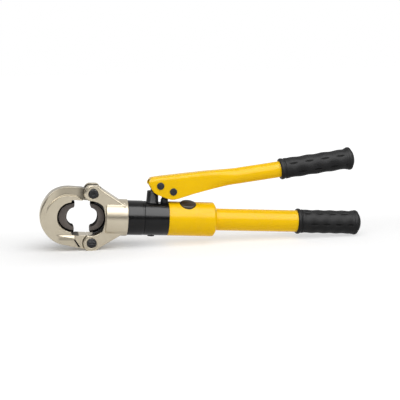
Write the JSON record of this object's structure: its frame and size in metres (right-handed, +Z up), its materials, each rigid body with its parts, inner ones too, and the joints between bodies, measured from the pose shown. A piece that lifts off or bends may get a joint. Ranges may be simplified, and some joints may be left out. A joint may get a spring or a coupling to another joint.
{
  "type": "hydraulic crimping tool",
  "caption": "Hand-held hydraulic pipe crimping tool: hinged C-jaw head with half-round dies, hand pump with lever, release button and oil reservoir tube handle.",
  "frame": {"origin": "centre of the fixed die's half bore, on its parting face and halfway along the die", "axes": "+X along the ram axis from the head towards the handles, +Y along the crimp bore and the head pins, +Z up towards the pump lever"},
  "size_m": [0.5011, 0.056, 0.1682],
  "materials": {
    "nickel": "satin nickel plate on forged steel",
    "black_paint": "semi-gloss black",
    "black_steel": "black oxide",
    "yellow_paint": "gloss powder coat",
    "grip_rubber": "matte moulded rubber",
    "seal_rubber": "nitrile rubber",
    "die_steel": "phosphated steel",
    "plain_steel": "ground steel",
    "bronze": "bearing bronze",
    "button_plastic": "black moulded plastic"
  },
  "bodies": {
    "body": {"cylinder_barrel": "black_paint", "swivel_ring": "plain_steel", "barrel_seal": "seal_rubber", "pump_body": "black_paint", "relief_plug": "black_steel", "relief_ball": "plain_steel", "relief_spring": "plain_steel", "discharge_ball": "plain_steel", "discharge_spring": "plain_steel", "suction_ball": "plain_steel", "suction_spring": "plain_steel", "fulcrum_post": "black_steel", "plunger_gland": "black_steel", "plunger_seal": "seal_rubber", "body_sleeve": "yellow_paint", "reservoir_tube": "yellow_paint", "tube_plug": "plain_steel", "reservoir_grip": "grip_rubber", "oil_bladder": "seal_rubber", "bladder_clamp": "plain_steel", "release_spring": "plain_steel"},
    "head": {"head_fork": "nickel", "hinge_pin": "black_steel", "hinge_pin_clip": "plain_steel", "rod_bush": "bronze", "rod_wiper": "seal_rubber", "return_spring": "plain_steel"},
    "lock": {"lock_pin": "black_steel", "lock_pin_clip": "plain_steel"},
    "jaw": {"c_jaw": "nickel", "fixed_die": "die_steel", "fixed_die_catch": "plain_steel"},
    "ram": {"ram": "black_steel", "moving_die": "die_steel", "moving_die_catch": "plain_steel", "piston": "plain_steel", "piston_seal": "seal_rubber", "piston_nut": "plain_steel"},
    "plunger": {"pump_plunger": "black_steel"},
    "lever": {"lever_channel": "yellow_paint", "lever_tube": "yellow_paint", "lever_grip": "grip_rubber", "fulcrum_pin": "black_steel", "fulcrum_clip": "plain_steel", "drive_pin": "black_steel", "drive_clip": "plain_steel"},
    "button": {"release_button": "button_plastic", "release_stem": "plain_steel", "release_ball": "plain_steel"}
  },
  "joints": [
    {"name": "head_swivel", "type": "hinge", "parent": "body", "child": "head", "pos_m": [0.072, 0, 0], "axis": [1, 0, 0], "continuous": true},
    {"name": "ram_slide", "type": "slide", "parent": "head", "child": "ram", "axis": [-1, 0, 0], "range_m": [0, 0.0237], "stiffness_N_per_m": 1500, "springref_m": -0.02, "deforming": ["return_spring"]},
    {"name": "jaw_swing", "type": "hinge", "parent": "head", "child": "jaw", "pos_m": [0.027, 0, 0.03747], "axis": [0, 1, 0], "range_deg": [0, 100]},
    {"name": "lock_turn", "type": "hinge", "parent": "head", "child": "lock", "pos_m": [0.027, 0, -0.03747], "axis": [0, 1, 0], "range_deg": [0, 90]},
    {"name": "lever_swing", "type": "hinge", "parent": "body", "child": "lever", "pos_m": [0.12807, 0, 0.0516], "axis": [0, -1, 0], "range_deg": [-8, 25]},
    {"name": "plunger_slide", "type": "slide", "parent": "body", "child": "plunger", "axis": [0, 0, 1], "range_m": [-0.003, 0.0093]},
    {"name": "button_press", "type": "slide", "parent": "body", "child": "button", "axis": [0, 0.309, -0.9511], "range_m": [0, 0.003], "stiffness_N_per_m": 800, "springref_m": -0.004, "deforming": ["release_spring"]}
  ],
  "couplings": [
    {"joint": "plunger_slide", "follows": "lever_swing", "m_per_rad": 0.0209}
  ]
}
